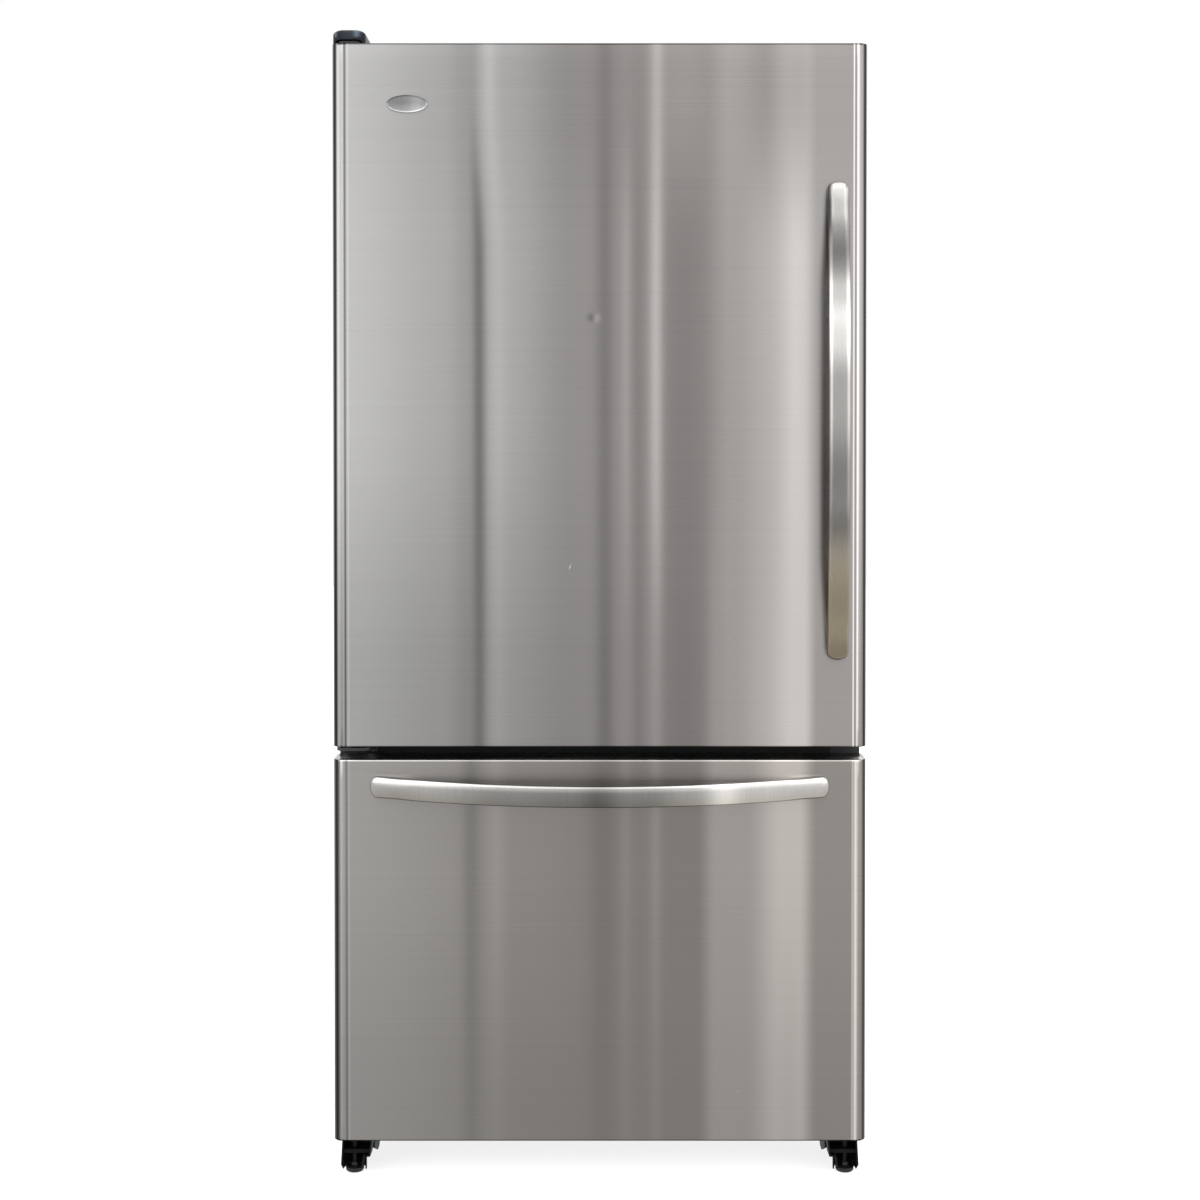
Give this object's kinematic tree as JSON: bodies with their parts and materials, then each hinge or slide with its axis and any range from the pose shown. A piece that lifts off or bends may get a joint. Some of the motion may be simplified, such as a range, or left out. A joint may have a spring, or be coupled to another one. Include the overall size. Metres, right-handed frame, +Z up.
{
  "type": "bottom freezer refrigerator",
  "caption": "Upright refrigerator with a hinged upper door, a pull-out freezer drawer below it, bowed bar handles, shelves, crispers, door bins and rear cooling parts.",
  "frame": {"origin": "on the floor, at the middle of the footprint from the handle tips to the rear flanges", "axes": "+Z up, -Y towards the fronts and their handles, +X towards the door handle"},
  "size_m": [0.829, 0.86, 1.789],
  "materials": {
    "stainless": "fine horizontal brushed grain, satin",
    "handle_steel": "satin polished along the bar",
    "case_paint": "fine textured dark paint",
    "black_steel": "semi-gloss black paint",
    "zinc_steel": "dull zinc plate",
    "liner_white": "smooth moulded, slight gloss",
    "foam": "matt foamed core",
    "gasket_grey": "soft matt vinyl",
    "clear_plastic": "clear moulded, polished",
    "shelf_glass": "clear, polished edges",
    "cap_slate": "moulded, slate grey, glossy",
    "wheel_black": "moulded nylon, matt",
    "coil_aluminium": "dull bare metal",
    "fan_plastic": "moulded, matt"
  },
  "bodies": {
    "cabinet": {"cabinet_shell": "case_paint", "mullion_rail": "case_paint", "base_frame": "black_steel", "middle_hinge": "black_steel", "front_bracket_left": "black_steel", "front_bracket_right": "black_steel", "condenser_coil": "black_steel", "compressor": "black_steel", "back_panel": "zinc_steel", "top_hinge": "zinc_steel", "slide_rail_left": "zinc_steel", "slide_rail_right": "zinc_steel", "evaporator_fan_motor": "zinc_steel", "condenser_fan_shroud": "zinc_steel", "machine_cover": "zinc_steel", "fridge_liner": "liner_white", "freezer_liner": "liner_white", "lower_shelf_frame": "liner_white", "upper_shelf_frame": "liner_white", "crisper_cover_frame": "liner_white", "control_housing": "liner_white", "evaporator_cover": "liner_white", "drain_pan": "liner_white", "cabinet_foam": "foam", "lamp_lens": "clear_plastic", "lower_shelf_glass": "shelf_glass", "upper_shelf_glass": "shelf_glass", "crisper_cover_glass": "shelf_glass", "hinge_cover": "cap_slate", "evaporator": "coil_aluminium"},
    "fresh_door": {"door_skin": "stainless", "door_foam": "foam", "door_liner": "liner_white", "door_gasket": "gasket_grey", "door_handle": "handle_steel", "door_bin_lower": "clear_plastic", "door_bin_upper": "clear_plastic", "dairy_bin": "clear_plastic"},
    "dairy_lid": {"dairy_flap": "clear_plastic"},
    "freezer_front": {"drawer_skin": "stainless", "drawer_foam": "foam", "drawer_liner": "liner_white", "drawer_gasket": "gasket_grey", "drawer_handle": "handle_steel", "drawer_frame": "zinc_steel", "lower_basket": "liner_white"},
    "sliding_basket": {"upper_basket": "liner_white"},
    "left_crisper": {"crisper_left": "clear_plastic"},
    "right_crisper": {"crisper_right": "clear_plastic"},
    "light_switch": {"light_switch_plunger": "liner_white"},
    "left_knob": {"temperature_knob_left": "liner_white"},
    "right_knob": {"temperature_knob_right": "liner_white"},
    "cold_fan": {"evaporator_fan_blade": "fan_plastic"},
    "warm_fan": {"condenser_fan_blade": "fan_plastic"},
    "left_front_roller": {"front_roller_left": "wheel_black"},
    "right_front_roller": {"front_roller_right": "wheel_black"},
    "left_rear_roller": {"rear_roller_left": "wheel_black"},
    "right_rear_roller": {"rear_roller_right": "wheel_black"},
    "left_leg": {"levelling_leg_left": "wheel_black"},
    "right_leg": {"levelling_leg_right": "wheel_black"}
  },
  "joints": [
    {"name": "door_swing", "type": "hinge", "parent": "cabinet", "child": "fresh_door", "pos_m": [-0.3925, -0.342, 1.2195], "axis": [0, 0, -1], "range_deg": [0, 120]},
    {"name": "dairy_flap_lift", "type": "hinge", "parent": "fresh_door", "child": "dairy_lid", "pos_m": [0, -0.2952, 1.553], "axis": [1, 0, 0], "range_deg": [0, 85]},
    {"name": "freezer_drawer_slide", "type": "slide", "parent": "cabinet", "child": "freezer_front", "axis": [0, -1, 0], "range_m": [0, 0.4]},
    {"name": "upper_basket_slide", "type": "slide", "parent": "cabinet", "child": "sliding_basket", "axis": [0, -1, 0], "range_m": [0, 0.2]},
    {"name": "crisper_left_slide", "type": "slide", "parent": "cabinet", "child": "left_crisper", "axis": [0, -1, 0], "range_m": [0, 0.18]},
    {"name": "crisper_right_slide", "type": "slide", "parent": "cabinet", "child": "right_crisper", "axis": [0, -1, 0], "range_m": [0, 0.18]},
    {"name": "light_switch_press", "type": "slide", "parent": "cabinet", "child": "light_switch", "axis": [0, -1, 0], "range_m": [0, 0.006]},
    {"name": "temperature_knob_left_turn", "type": "hinge", "parent": "cabinet", "child": "left_knob", "pos_m": [-0.095, -0.1583, 1.7007], "axis": [0, -1, 0], "range_deg": [-120, 120]},
    {"name": "temperature_knob_right_turn", "type": "hinge", "parent": "cabinet", "child": "right_knob", "pos_m": [0.095, -0.1583, 1.7007], "axis": [0, -1, 0], "range_deg": [-120, 120]},
    {"name": "evaporator_fan_spin", "type": "hinge", "parent": "cabinet", "child": "cold_fan", "pos_m": [0, 0.296, 0.5737], "axis": [0, 1, 0], "continuous": true},
    {"name": "condenser_fan_spin", "type": "hinge", "parent": "cabinet", "child": "warm_fan", "pos_m": [-0.098, 0.3091, 0.1783], "axis": [1, 0, 0], "continuous": true},
    {"name": "front_roller_left_roll", "type": "hinge", "parent": "cabinet", "child": "left_front_roller", "pos_m": [-0.381, -0.25, 0.0185], "axis": [1, 0, 0], "continuous": true},
    {"name": "front_roller_right_roll", "type": "hinge", "parent": "cabinet", "child": "right_front_roller", "pos_m": [0.381, -0.25, 0.0185], "axis": [1, 0, 0], "continuous": true},
    {"name": "rear_roller_left_roll", "type": "hinge", "parent": "cabinet", "child": "left_rear_roller", "pos_m": [-0.38, 0.368, 0.02], "axis": [1, 0, 0], "continuous": true},
    {"name": "rear_roller_right_roll", "type": "hinge", "parent": "cabinet", "child": "right_rear_roller", "pos_m": [0.38, 0.368, 0.02], "axis": [1, 0, 0], "continuous": true},
    {"name": "levelling_leg_left_screw", "type": "slide", "parent": "cabinet", "child": "left_leg", "axis": [0, 0, -1], "range_m": [0, 0.012]},
    {"name": "levelling_leg_right_screw", "type": "slide", "parent": "cabinet", "child": "right_leg", "axis": [0, 0, -1], "range_m": [0, 0.012]}
  ],
  "couplings": [
    {"joint": "upper_basket_slide", "follows": "freezer_drawer_slide", "ratio": 0.5},
    {"joint": "crisper_left_slide", "follows": "door_swing", "m_per_rad": 0.0859},
    {"joint": "crisper_right_slide", "follows": "door_swing", "m_per_rad": 0.0859},
    {"joint": "light_switch_press", "follows": "door_swing", "m_per_rad": 0.00286}
  ]
}
